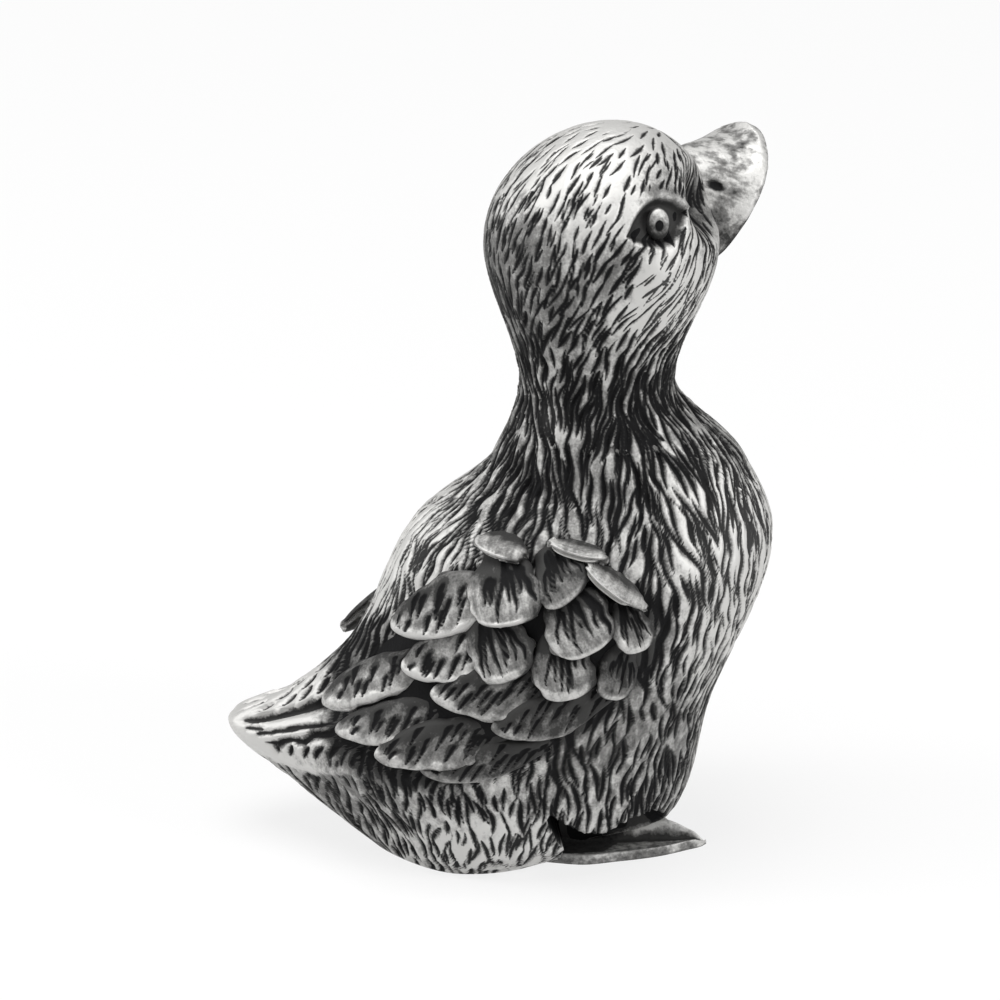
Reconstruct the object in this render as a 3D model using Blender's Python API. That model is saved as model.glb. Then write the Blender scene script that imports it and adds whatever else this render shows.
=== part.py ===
"""A cast pewter duckling that sits up and looks over its shoulder at the sky.

The figurine is soldered together from separate castings: the body, the head with its neck, the two
halves of the bill, two eye beads, two wings and two webbed feet. Every joint has a spigot, peg or tang
in a matching pocket, with a thin gap all round that the solder fills.

Units are metres and +Z is up. The origin lies on the table under the middle of the figurine. The
breast faces +X, and the duckling's left side is +Y.
"""

import math

import bmesh
import bpy
import numpy as np
from mathutils import Matrix, Vector

# Overall sizes
OVERALL_HEIGHT = 0.0510
TAIL_REACH = 0.01825
BREAST_REACH = 0.01825
BODY_WIDTH = 0.0224
SEAT_GAP = 0.00025

# Side view of the body, breast side: heights above the table and reach ahead of the origin
BASE_FRONT = 0.0050
UNDERCUT_HEIGHT = 0.0027
UNDERCUT_FRONT = 0.0119
BELLY_HEIGHT = 0.0100
BELLY_FRONT = 0.0140
BREAST_HEIGHT = 0.0224
COLLAR_HEIGHT = 0.0276
COLLAR_FRONT = 0.0163

# Side view of the body, tail side: heights above the table and reach behind the origin
BASE_BACK = 0.0088
RUMP_HEIGHT = 0.0037
RUMP_BACK = 0.0139
TAIL_HEIGHT = 0.0077
TAIL_ROOT_HEIGHT = 0.0099
TAIL_ROOT_BACK = 0.0143
SADDLE_HEIGHT = 0.0138
SADDLE_BACK = 0.0101
BACK_HEIGHT = 0.0222
BACK_BACK = 0.0060
NAPE_HEIGHT = 0.0273
NAPE_BACK = 0.0006

# Widths of the body, and how far the tail narrows
BASE_WIDTH = 0.0150
BASE_ROUND_HEIGHT = 0.0016
BASE_ROUND_WIDTH = 0.0184
SHOULDER_HEIGHT = 0.0202
SHOULDER_WIDTH = 0.0206
COLLAR_WIDTH = 0.0136
TAIL_NARROWING = 0.55

# Neck and head
NECK_HEIGHT = 0.0330
NECK_CENTRE = 0.00645
NECK_LENGTH = 0.0105
NECK_WIDTH = 0.0100
SEAM_HEIGHT = 0.0300
SPIGOT_RADIUS = 0.0030
SPIGOT_LENGTH = 0.0036
HEAD_HEIGHT = 0.0427
HEAD_CENTRE = 0.00675
HEAD_LENGTH = 0.0157
HEAD_WIDTH = 0.0146
CROWN_LEAN = 0.0009
HEAD_PITCH = math.radians(58)
HEAD_YAW = math.radians(37)

# Bill, measured from the middle of the head along the way that the head faces
BILL_TIP = 0.0113
BILL_ROOT = 0.0025
BILL_DROP = 0.0067
BILL_WIDTH = 0.0084
BILL_TIP_WIDTH = 0.0076
CULMEN_RISE = 0.0048
BILL_EDGE = 0.0007
MOUTH_DIP = 0.0005
LOWER_BILL_INSET = 0.0004
LOWER_BILL_DEPTH = 0.0012

# Eye beads, placed by how far forward and up from the middle of the head they look
EYE_FORWARD = 0.423
EYE_UP = 0.20
EYE_RADIUS = 0.0009
EYE_SINK = 0.0005
PUPIL_RADIUS = 0.00035
PUPIL_DEPTH = 0.0003
EYE_PIN_RADIUS = 0.0005
EYE_PIN_LENGTH = 0.0016

# Wings
WING_PLATE = 0.0006
WING_MOST_PLATE = 0.0013
WING_CLEARANCE = 0.0015
WING_SHOULDER = (0.0102, 0.0202)
WING_TIP = (-0.0103, 0.0111)
WING_DEPTH = 0.0118
WING_PEG_RADIUS = 0.0009
WING_PEG_LENGTH = 0.0024
FEATHER_BED = 0.0003
FEATHER_ROOT_RISE = 0.0002
FEATHER_CROWN = 0.00025

# Feathers of the right wing in the side view, from its tip up to the shoulder: the tip along and up, the way
# it points in degrees, the length and width, and how far the tip stands off the plate
FLIGHT_FEATHERS = (
    (-0.0111, 0.0115, -145, 0.0096, 0.0032, 0.00060),
    (-0.0051, 0.0088, -168, 0.0096, 0.0030, 0.00030),
    (-0.0102, 0.0104, -161, 0.0096, 0.0034, 0.00045),
    (-0.0074, 0.0094, -163, 0.0100, 0.0040, 0.00060),
    (0.0005, 0.0124, -165, 0.0088, 0.0035, 0.00050),
    (-0.0036, 0.0140, -170, 0.0092, 0.0038, 0.00075),
    (-0.0055, 0.0152, -155, 0.0080, 0.0036, 0.00085),
    (-0.0062, 0.0175, -147, 0.0090, 0.0037, 0.00090),
)
COVERT_FEATHERS = (
    (0.0083, 0.0145, -104, 0.0050, 0.0026, 0.00065),
    (0.0057, 0.0148, -76, 0.0056, 0.0041, 0.00090),
    (0.0021, 0.0159, -60, 0.0060, 0.0044, 0.00100),
    (0.0101, 0.0179, -72, 0.0044, 0.0026, 0.00085),
    (0.0072, 0.0181, -60, 0.0056, 0.0046, 0.00110),
    (0.0019, 0.0195, -74, 0.0052, 0.0050, 0.00120),
    (0.0058, 0.0214, -52, 0.0038, 0.0038, 0.00100),
    (0.0083, 0.0218, -124, 0.0022, 0.0050, 0.00115),
    (0.0060, 0.0239, -100, 0.0020, 0.0043, 0.00105),
    (0.0009, 0.0232, -95, 0.0024, 0.0036, 0.00110),
)

# Feet
FOOT_TOE = 0.0141
FOOT_HEEL = 0.0036
FOOT_INSIDE = 0.0037
LEFT_FOOT_BACK = 0.0024
FOOT_SPLAY = math.radians(-10)
FOOT_TOE_WIDTH = 0.0044
FOOT_HEEL_WIDTH = 0.0034
WEB_THICKNESS = 0.0006
TOE_RISE = 0.0002
INNER_RIM_RISE = 0.0011
ANKLE_RISE = 0.0008
WEB_SCALLOP = 0.0002
TOE_SPREAD = 0.0042
FOOT_CAVE_PLACE = (0.0076, 0.0080, 0.0009)
FOOT_CAVE = (0.0033, 0.0044, 0.0037)

# Facets
AROUND = 40
BODY_RINGS = 25
NECK_RINGS = 8
CROWN_RINGS = 8
BILL_RINGS = 10
EYE_STEPS = 16

PEWTER = (0.46, 0.46, 0.45)
BURNISHED = (0.62, 0.62, 0.60)
DARK_PEWTER = (0.20, 0.20, 0.20)


def clear_scene():
    for obj in list(bpy.data.objects):
        bpy.data.objects.remove(obj)


def pewter(name, colour, roughness):
    material = bpy.data.materials.new(name)
    material.use_nodes = True
    shader = material.node_tree.nodes["Principled BSDF"]
    shader.inputs["Base Color"].default_value = (*colour, 1.0)
    shader.inputs["Metallic"].default_value = 1.0
    shader.inputs["Roughness"].default_value = roughness
    return material


def loft(rings):
    """A closed solid through rings of equally many points, with a flat cap on each end."""
    shape = bmesh.new()
    corners = [[shape.verts.new(point) for point in ring] for ring in rings]
    for lower, upper in zip(corners, corners[1:]):
        for i in range(len(lower)):
            j = (i + 1) % len(lower)
            shape.faces.new((lower[i], lower[j], upper[j], upper[i]))
    shape.faces.new(corners[0][::-1])
    shape.faces.new(corners[-1])
    return shape


def place(name, shape, material, parent, mirrored=False):
    """Turns a bmesh into a named object of the figurine, on the other side if it is mirrored."""
    if mirrored:
        bmesh.ops.transform(shape, matrix=Matrix.Scale(-1, 4, (0, 1, 0)), verts=shape.verts)
    bmesh.ops.recalc_face_normals(shape, faces=shape.faces)
    if shape.calc_volume(signed=True) < 0:
        bmesh.ops.reverse_faces(shape, faces=shape.faces)
    mesh = bpy.data.meshes.new(name)
    shape.to_mesh(mesh)
    shape.free()
    mesh.shade_smooth()
    mesh.set_sharp_from_angle(angle=math.radians(50))
    obj = bpy.data.objects.new(name, mesh)
    bpy.context.collection.objects.link(obj)
    obj.parent = parent
    if material:
        mesh.materials.append(material)
    return obj


def helper(name, shape, parent, mirrored=False):
    """A cutter, which shapes another piece and isn't part of the figurine."""
    obj = place(name, shape, None, parent, mirrored)
    obj.hide_render = True
    obj.display_type = "WIRE"
    return obj


def combine(obj, operation, other, own_overlaps=False):
    modifier = obj.modifiers.new(f"{operation.lower()} {other.name}", "BOOLEAN")
    modifier.operation = operation
    modifier.object = other
    modifier.use_self = own_overlaps


def smooth_curve(points, level_end=False):
    """A smooth curve through points that never swings past them. It leaves level if asked to."""
    places, values = np.array(points, float).T
    steps = np.diff(places)
    slopes = np.diff(values) / steps
    tangents = np.zeros(len(places))
    tangents[0] = slopes[0]
    tangents[-1] = 0.0 if level_end else slopes[-1]
    for i in range(1, len(places) - 1):
        if slopes[i - 1] * slopes[i] > 0:
            before = 2 * steps[i] + steps[i - 1]
            after = steps[i] + 2 * steps[i - 1]
            tangents[i] = (before + after) / (before / slopes[i - 1] + after / slopes[i])

    def at(place):
        place = min(max(place, places[0]), places[-1])
        i = min(max(int(np.searchsorted(places, place)) - 1, 0), len(steps) - 1)
        t = (place - places[i]) / steps[i]
        rise = values[i] + t * t * (3 - 2 * t) * (values[i + 1] - values[i])
        lean = t * (1 - t) * steps[i] * ((1 - t) * tangents[i] - t * tangents[i + 1])
        return rise + lean

    return at


def ease(t):
    """Goes smoothly from 0 to 1 as t does."""
    t = min(max(t, 0.0), 1.0)
    return t * t * (3 - 2 * t)


# The form of the body, neck and head: each level is an oval, given by three outlines

FRONT = smooth_curve(
    (
        (0.0, BASE_FRONT),
        (UNDERCUT_HEIGHT, UNDERCUT_FRONT),
        (BELLY_HEIGHT, BELLY_FRONT),
        (BREAST_HEIGHT, BREAST_REACH),
        (COLLAR_HEIGHT, COLLAR_FRONT),
        (NECK_HEIGHT, NECK_CENTRE + NECK_LENGTH / 2),
        (HEAD_HEIGHT, HEAD_CENTRE + HEAD_LENGTH / 2),
    ),
    level_end=True,
)
BACK = smooth_curve(
    (
        (0.0, -BASE_BACK),
        (RUMP_HEIGHT, -RUMP_BACK),
        (TAIL_HEIGHT, -TAIL_REACH),
        (TAIL_ROOT_HEIGHT, -TAIL_ROOT_BACK),
        (SADDLE_HEIGHT, -SADDLE_BACK),
        (BACK_HEIGHT, -BACK_BACK),
        (NAPE_HEIGHT, -NAPE_BACK),
        (NECK_HEIGHT, NECK_CENTRE - NECK_LENGTH / 2),
        (HEAD_HEIGHT, HEAD_CENTRE - HEAD_LENGTH / 2),
    ),
    level_end=True,
)
HALF_WIDTH = smooth_curve(
    (
        (0.0, BASE_WIDTH / 2),
        (BASE_ROUND_HEIGHT, BASE_ROUND_WIDTH / 2),
        (BELLY_HEIGHT, BODY_WIDTH / 2),
        (SHOULDER_HEIGHT, SHOULDER_WIDTH / 2),
        (COLLAR_HEIGHT, COLLAR_WIDTH / 2),
        (NECK_HEIGHT, NECK_WIDTH / 2),
        (HEAD_HEIGHT, HEAD_WIDTH / 2),
    ),
    level_end=True,
)
NARROWING = smooth_curve(((0.0, 0.2), (TAIL_HEIGHT, TAIL_NARROWING), (BACK_HEIGHT, 0.0)))


def level(height):
    """The middle, half length and half width of the oval at a height."""
    rise = (height - HEAD_HEIGHT) / (OVERALL_HEIGHT - HEAD_HEIGHT)
    round_off = math.sqrt(max(1 - max(rise, 0.0) ** 2, 0.0))
    middle = (FRONT(height) + BACK(height)) / 2 + CROWN_LEAN * max(rise, 0.0) ** 2
    return middle, (FRONT(height) - BACK(height)) / 2 * round_off, HALF_WIDTH(height) * round_off


def narrowed(height, along):
    """The share of its width that an oval keeps at a place along it, from -1 at the tail to 1."""
    return 1 - NARROWING(height) * ease(-along)


def oval(height):
    """The points of the figure's outline at one level."""
    middle, half_length, half_width = level(height)
    ring = []
    for i in range(AROUND):
        angle = 2 * math.pi * i / AROUND
        along = math.cos(angle)
        side = half_width * math.sin(angle) * narrowed(height, along)
        ring.append((middle + half_length * along, side, height))
    return ring


def circle(middle, radius, height):
    turns = [2 * math.pi * i / AROUND for i in range(AROUND)]
    return [(middle + radius * math.cos(t), radius * math.sin(t), height) for t in turns]


def flank(x, height):
    """How far the side of the body stands from the middle plane."""
    middle, half_length, half_width = level(height)
    along = min(max((x - middle) / half_length, -1.0), 1.0)
    return half_width * math.sqrt(1 - along * along) * narrowed(height, along)


def body_heights():
    """Levels from the table to the neck, closest together at the tail."""
    tail_depth = TAIL_ROOT_HEIGHT - TAIL_HEIGHT
    heights = np.linspace(0.0, SEAM_HEIGHT - SEAT_GAP / 2, 400)
    density = 1 + 4 * np.exp(-(((heights - TAIL_HEIGHT) / tail_depth) ** 2)) + 3 * np.exp(-heights / tail_depth)
    share = np.concatenate(([0.0], np.cumsum(density[1:])))
    return np.interp(np.linspace(0, share[-1], BODY_RINGS), share, heights)


def body_shape():
    """Breast, back, belly and tail, with a flat underside and a socket in the neck."""
    rings = [oval(height) for height in body_heights()]
    neck_middle = level(SEAM_HEIGHT)[0]
    socket_radius = SPIGOT_RADIUS + SEAT_GAP
    rings.append(circle(neck_middle, socket_radius, SEAM_HEIGHT - SEAT_GAP / 2))
    rings.append(circle(neck_middle, socket_radius, SEAM_HEIGHT - SPIGOT_LENGTH - SEAT_GAP))
    return loft(rings)


def head_shape():
    """Head and neck, with a spigot that stands in the body's socket."""
    neck_middle = level(SEAM_HEIGHT)[0]
    seam = SEAM_HEIGHT + SEAT_GAP / 2
    rings = [
        circle(neck_middle, SPIGOT_RADIUS, SEAM_HEIGHT - SPIGOT_LENGTH),
        circle(neck_middle, SPIGOT_RADIUS, seam),
    ]
    rings += [oval(height) for height in np.linspace(seam, HEAD_HEIGHT, NECK_RINGS)]
    for i in range(1, CROWN_RINGS + 1):
        turn = math.pi / 2 * i / (CROWN_RINGS + 0.5)
        rings.append(oval(HEAD_HEIGHT + (OVERALL_HEIGHT - HEAD_HEIGHT) * math.sin(turn)))
    return loft(rings)


# The head's own frame: the way it faces, its right-hand side and its up

FACING = Vector(
    (
        math.cos(HEAD_PITCH) * math.cos(HEAD_YAW),
        math.cos(HEAD_PITCH) * math.sin(HEAD_YAW),
        math.sin(HEAD_PITCH),
    )
)
RIGHT_HAND = Vector((math.sin(HEAD_YAW), -math.cos(HEAD_YAW), 0.0))
UPWARD = RIGHT_HAND.cross(FACING)
HEAD_MIDDLE = Vector((HEAD_CENTRE, 0.0, HEAD_HEIGHT))


def in_head(forward, right, up):
    return HEAD_MIDDLE + FACING * forward + RIGHT_HAND * right + UPWARD * up


def head_surface(direction):
    """Where a line from the middle of the head comes out."""
    inside, outside = 0.0, HEAD_LENGTH
    for _ in range(40):
        reach = (inside + outside) / 2
        point = HEAD_MIDDLE + direction * reach
        middle, half_length, half_width = level(point.z)
        if half_width > 0 and ((point.x - middle) / half_length) ** 2 + (point.y / half_width) ** 2 < 1:
            inside = reach
        else:
            outside = reach
    return HEAD_MIDDLE + direction * inside


# Bill: two halves that part along the mouth


def mouth_line(along):
    """Height of the mouth over the middle of the head, from the bill's root to its tip."""
    return -BILL_DROP - MOUTH_DIP * along * along


def bill_half_width(along):
    straight = BILL_WIDTH / 2 + (BILL_TIP_WIDTH - BILL_WIDTH) / 2 * along
    root = 0.78 + 0.22 * ease(along / 0.3)
    rounding = math.sqrt(max(1 - max(along - 0.6, 0.0) ** 2 / 0.4**2, 0.0))
    return straight * root * max(rounding, 0.12)


def culmen(along):
    """How far the ridge of the bill stands over the mouth. It sweeps down to the tip."""
    return BILL_EDGE + CULMEN_RISE * (1 - ease(2 * along - 1))


def bill_along(station):
    """Where each station stands, from 0 at the root to 1, closer together at the rounded tip."""
    return math.sin(math.pi / 2 * station / (BILL_RINGS - 1)) ** 0.9


def upper_bill_top(along, across):
    """The upper half's outer face: a ridge that runs down to thin edges."""
    swell = (culmen(along) - BILL_EDGE) * (1 - abs(across) ** 1.5)
    return mouth_line(along) + BILL_EDGE + swell


def lower_bill_underside(along, across):
    """The lower half's outer face: a shallow tray."""
    depth = LOWER_BILL_DEPTH * (1 - 0.5 * along) * (1 - 0.6 * across * across)
    return mouth_line(along) - SEAT_GAP - depth


def bill_shape(over, under, inset=0.0, grow=0.0):
    """A solid from the bill's root to its tip between two faces, which give a height at (along, across)."""
    rings = []
    tip = BILL_TIP - inset
    for station in range(BILL_RINGS):
        along = bill_along(station)
        forward = BILL_ROOT - grow + (tip - BILL_ROOT + 2 * grow) * along
        half = bill_half_width(along) - inset + grow
        ring = []
        for across in (1, 0.8, 0.5, 0.2, -0.2, -0.5, -0.8, -1):
            ring.append(in_head(forward, half * across, over(along, across) + grow))
        for across in (-0.95, -0.6, 0, 0.6, 0.95):
            ring.append(in_head(forward, half * across, under(along, across) - grow))
        rings.append(ring)
    return loft(rings)


def upper_bill_shape():
    return bill_shape(upper_bill_top, lambda along, across: mouth_line(along))


def lower_bill_shape():
    return bill_shape(lambda along, across: mouth_line(along) - SEAT_GAP, lower_bill_underside, LOWER_BILL_INSET)


def bill_pocket_shape():
    """The cutter for the pocket that both halves of the bill stand in."""
    return bill_shape(upper_bill_top, lower_bill_underside, grow=SEAT_GAP)


# Eyes: turned beads with a drilled pupil, on a pin


def eye_direction(side):
    right = side * math.sqrt(1 - EYE_FORWARD**2 - EYE_UP**2)
    return FACING * EYE_FORWARD + RIGHT_HAND * right + UPWARD * EYE_UP


def turned(profile, centre, axis):
    """Spins a profile of (radius, distance along the axis) round the axis."""
    shape = bmesh.new()
    points = [shape.verts.new((radius, 0.0, along)) for radius, along in profile]
    edges = [shape.edges.new(pair) for pair in zip(points, points[1:])]
    bmesh.ops.spin(
        shape,
        geom=points + edges,
        cent=(0, 0, 0),
        axis=(0, 0, 1),
        angle=2 * math.pi,
        steps=EYE_STEPS,
        use_merge=True,
    )
    bmesh.ops.remove_doubles(shape, verts=shape.verts, dist=1e-6)
    turn = Vector((0, 0, 1)).rotation_difference(axis).to_matrix().to_4x4()
    bmesh.ops.transform(shape, matrix=Matrix.Translation(centre) @ turn, verts=shape.verts)
    return shape


def eye_shape(side, grow=0.0):
    """A bead on a pin. Grown by the gap it is the cutter for its socket."""
    direction = eye_direction(side)
    centre = head_surface(direction) - direction * EYE_SINK
    radius, pin = EYE_RADIUS + grow, EYE_PIN_RADIUS + grow
    profile = [(0.0, -EYE_PIN_LENGTH - EYE_RADIUS - grow), (pin, -EYE_PIN_LENGTH - EYE_RADIUS - grow)]
    first = math.asin(pin / radius)
    last = math.pi if grow else math.pi - math.asin(PUPIL_RADIUS / radius)
    for i in range(8):
        turn = first + (last - first) * i / 7
        profile.append((max(radius * math.sin(turn), 0.0), -radius * math.cos(turn)))
    if not grow:
        profile.append((0.0, radius * -math.cos(last) - PUPIL_DEPTH))
    return turned(profile, centre, direction)


# Wings: a plate that lies on the flank and sweeps clear of the tail, under overlapping feathers


def wing_sheet(x, height):
    """How far the wing plate's outer face stands from the middle plane."""
    front, back = FRONT(height), BACK(height) - WING_CLEARANCE
    along = min(max((2 * x - front - back) / (front - back), -1.0), 1.0)
    swept = HALF_WIDTH(height) * math.sqrt(1 - along * along)
    seated = wing_seat(x, height) + WING_PLATE
    return (swept + seated + math.hypot(swept - seated, WING_PLATE)) / 2


def wing_seat(x, height):
    """The flank with the solder gap on it, square to the surface."""
    step = SEAT_GAP
    slope_x = (flank(x + step, height) - flank(x - step, height)) / (2 * step)
    slope_z = (flank(x, height + step) - flank(x, height - step)) / (2 * step)
    steepness = min(math.sqrt(1 + slope_x**2 + slope_z**2), 3.0)
    return flank(x, height) + SEAT_GAP * steepness


def wing_point(x, height, rise):
    """A point over the right wing's plate, or in its underside where the rise is None."""
    if rise is None:
        inner = max(wing_seat(x, height), wing_sheet(x, height) - WING_MOST_PLATE)
        return Vector((x, -inner, height))
    step = SEAT_GAP
    slope_x = (wing_sheet(x + step, height) - wing_sheet(x - step, height)) / (2 * step)
    slope_z = (wing_sheet(x, height + step) - wing_sheet(x, height - step)) / (2 * step)
    outward = Vector((-slope_x, -1.0, -slope_z)).normalized()
    return Vector((x, -wing_sheet(x, height), height)) + outward * rise


def leaf_width(along, widest):
    """The width of a leaf's outline as a share of its most: blunt at the root, round at the tip."""
    if along < widest:
        return 0.72 + 0.28 * ease(along / widest)
    return math.sqrt(max(1 - ((along - widest) / (1 - widest)) ** 2, 0.0))


def leaf(root, tip, width, widest, stations, lanes, top, bottom):
    """A leaf laid on the wing from root to tip. top and bottom give its rise at (along, across)."""
    root, tip = np.array(root), np.array(tip)
    side = np.array((root[1] - tip[1], tip[0] - root[0])) / np.linalg.norm(tip - root)
    rings = []
    for station in range(stations):
        along = math.sin(math.pi / 2 * station / (stations - 1))
        half = width / 2 * max(leaf_width(along, widest), 0.1)
        ring = []
        for face, points, order in ((top, lanes[0], 1), (bottom, lanes[1], -1)):
            for across in np.linspace(-order, order, points):
                x, height = root + (tip - root) * along + side * half * across
                ring.append(wing_point(x, height, face(along, across)))
        rings.append(ring)
    return loft(rings)


def wing_plate_shape():
    return leaf(
        WING_SHOULDER,
        WING_TIP,
        WING_DEPTH,
        widest=0.30,
        stations=15,
        lanes=(9, 9),
        top=lambda along, across: 0.0,
        bottom=lambda along, across: None,
    )


def feather_shapes():
    """All feathers of a wing in one mesh. They overlap as tiles do, each tip over the next root."""
    gathered = bmesh.new()
    plumage = FLIGHT_FEATHERS + COVERT_FEATHERS
    for number, (x, height, degrees, length, width, tip_rise) in enumerate(plumage):
        turn = math.radians(degrees)
        root = (x - length * math.cos(turn), height - length * math.sin(turn))
        bed = FEATHER_BED * (0.5 + number / len(plumage))
        shape = leaf(
            root,
            (x, height),
            width,
            widest=0.45 if number < len(FLIGHT_FEATHERS) else 0.60,
            stations=6,
            lanes=(5, 3),
            top=lambda along, across: (
                FEATHER_ROOT_RISE
                + (tip_rise - FEATHER_ROOT_RISE) * (1 - (1 - along) ** 2)
                + FEATHER_CROWN * (1 - across * across)
            ),
            bottom=lambda along, across: -bed,
        )
        bmesh.ops.recalc_face_normals(shape, faces=shape.faces)
        mesh = bpy.data.meshes.new("feather")
        shape.to_mesh(mesh)
        shape.free()
        gathered.from_mesh(mesh)
        bpy.data.meshes.remove(mesh)
    return gathered


def wing_pegs():
    """Where the two pegs of a wing stand, in the side view."""
    shoulder, tip = np.array(WING_SHOULDER), np.array(WING_TIP)
    return [shoulder + (tip - shoulder) * share for share in (0.18, 0.45)]


def peg_shape(x, height, grow=0.0):
    """A peg from the wing's plate straight into the body."""
    seat = flank(x, height)
    ends = (-seat - SEAT_GAP - WING_PLATE / 2, -seat + WING_PEG_LENGTH + grow)
    turns = [2 * math.pi * i / EYE_STEPS for i in range(EYE_STEPS)]
    radius = WING_PEG_RADIUS + grow
    return loft([[(x + radius * math.cos(t), y, height + radius * math.sin(t)) for t in turns] for y in ends])


# Feet: webbed fans with three toes, whose heels stand in slots under the breast


def foot_shape(back, grow=0.0):
    """A foot, flat underneath, set back by so much. Grown by the gap it is the cutter for its slot."""
    length = FOOT_TOE - FOOT_HEEL
    heading = np.array((math.cos(FOOT_SPLAY), -math.sin(FOOT_SPLAY)))
    side = np.array((-heading[1], heading[0]))
    heel = np.array((FOOT_HEEL - back, -FOOT_INSIDE)) - heading * grow
    rings = []
    stations, lanes = 9, np.linspace(-1, 1, 13)
    for station in range(stations):
        along = station / (stations - 1)
        half = (FOOT_HEEL_WIDTH + (FOOT_TOE_WIDTH - FOOT_HEEL_WIDTH) * ease(along * 1.1)) / 2 + grow
        ring = []
        for lane in lanes:
            toe = math.cos(lane * 2 * math.pi) * 0.5 + 0.5
            reach = (length + 2 * grow - WEB_SCALLOP * (1 - toe) - TOE_SPREAD * lane * lane) * along
            ridge = TOE_RISE * toe * (1 - 0.6 * along) * (1 - abs(lane) ** 6)
            ridge += INNER_RIM_RISE * ease(1.5 * lane - 0.5) * (1 - 0.75 * along**4)
            ankle = ANKLE_RISE * (1 - ease(along * 1.4)) * (1 - lane * lane)
            x, y = heel + heading * reach + side * half * lane
            ring.append((x, y, WEB_THICKNESS + ridge + ankle + grow))
        for lane in lanes[::-3]:
            toe = math.cos(lane * 2 * math.pi) * 0.5 + 0.5
            reach = (length + 2 * grow - WEB_SCALLOP * (1 - toe) - TOE_SPREAD * lane * lane) * along
            x, y = heel + heading * reach + side * half * lane
            ring.append((x, y, -4 * grow))
        rings.append(ring)
    return loft(rings)


def cave_shape():
    """The hollow over the right foot, where the breast stands clear of the web."""
    shape = bmesh.new()
    bmesh.ops.create_uvsphere(shape, u_segments=16, v_segments=8, radius=1.0)
    centre = Vector((FOOT_CAVE_PLACE[0], -FOOT_CAVE_PLACE[1], FOOT_CAVE_PLACE[2]))
    scale = Matrix.Diagonal((*FOOT_CAVE, 1.0))
    bmesh.ops.transform(shape, matrix=Matrix.Translation(centre) @ scale, verts=shape.verts)
    return shape


def build():
    clear_scene()
    figure = bpy.data.objects.new("duckling", None)
    bpy.context.collection.objects.link(figure)
    feathered = pewter("feathered pewter", PEWTER, 0.42)
    smooth = pewter("smooth pewter", BURNISHED, 0.35)
    dark = pewter("dark pewter", DARK_PEWTER, 0.5)

    body = place("body", body_shape(), feathered, figure)
    head = place("head", head_shape(), feathered, figure)
    place("upper_bill", upper_bill_shape(), smooth, figure)
    place("lower_bill", lower_bill_shape(), smooth, figure)
    combine(head, "DIFFERENCE", helper("bill_pocket", bill_pocket_shape(), figure))

    for side, mirrored, sign, back in (("right", False, 1, 0.0), ("left", True, -1, LEFT_FOOT_BACK)):
        place(f"{side}_eye", eye_shape(sign), dark, figure)
        combine(head, "DIFFERENCE", helper(f"{side}_eye_socket", eye_shape(sign, SEAT_GAP), figure))

        wing = place(f"{side}_wing", wing_plate_shape(), feathered, figure, mirrored)
        for number, (x, height) in enumerate(wing_pegs(), 1):
            peg = helper(f"{side}_wing_peg_{number}", peg_shape(x, height), figure, mirrored)
            combine(wing, "UNION", peg)
            socket = helper(f"{side}_wing_socket_{number}", peg_shape(x, height, SEAT_GAP), figure, mirrored)
            combine(body, "DIFFERENCE", socket)
        plumage = helper(f"{side}_feathers", feather_shapes(), figure, mirrored)
        combine(wing, "UNION", plumage, own_overlaps=True)

        place(f"{side}_foot", foot_shape(back), smooth, figure, mirrored)
        combine(body, "DIFFERENCE", helper(f"{side}_foot_cave", cave_shape(), figure, mirrored))
        combine(body, "DIFFERENCE", helper(f"{side}_foot_slot", foot_shape(back, SEAT_GAP), figure, mirrored))


build()
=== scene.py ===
"""Looks for the pewter duckling: carved down, layered wing feathers and dark antiquing on worn metal.

The CAD model is the frame. Every casting is modelled again here at its full detail, in the same place
and size, and stands for its CAD node. Sizes are in millimetres until a mesh is filled.
"""

import math

import bpy
import numpy as np
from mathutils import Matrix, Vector, noise
from mathutils.kdtree import KDTree


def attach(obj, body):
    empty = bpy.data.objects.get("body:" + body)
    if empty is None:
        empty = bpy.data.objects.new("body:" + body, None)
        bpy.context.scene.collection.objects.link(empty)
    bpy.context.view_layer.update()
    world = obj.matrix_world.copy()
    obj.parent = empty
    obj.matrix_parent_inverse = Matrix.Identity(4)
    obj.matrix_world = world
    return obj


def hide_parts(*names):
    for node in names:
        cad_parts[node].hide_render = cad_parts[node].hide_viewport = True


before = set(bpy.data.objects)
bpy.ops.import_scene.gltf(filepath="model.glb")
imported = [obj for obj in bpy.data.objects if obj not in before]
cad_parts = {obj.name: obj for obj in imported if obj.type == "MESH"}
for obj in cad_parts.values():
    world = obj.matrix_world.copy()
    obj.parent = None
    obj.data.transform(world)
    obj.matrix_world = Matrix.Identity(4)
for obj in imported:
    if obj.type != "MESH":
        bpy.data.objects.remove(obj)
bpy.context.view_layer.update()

# Body
# One solid pewter casting: breast, back, belly and tail on a flat underside. The down was cut into the
# master stroke by stroke with a knife, running down from the neck to the table and to the tail tip.

MM = 0.001
chance = np.random.default_rng(seed=11)


def ease(t):
    """Goes smoothly from 0 to 1 as t does."""
    t = np.clip(t, 0.0, 1.0)
    return t * t * (3 - 2 * t)


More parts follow.
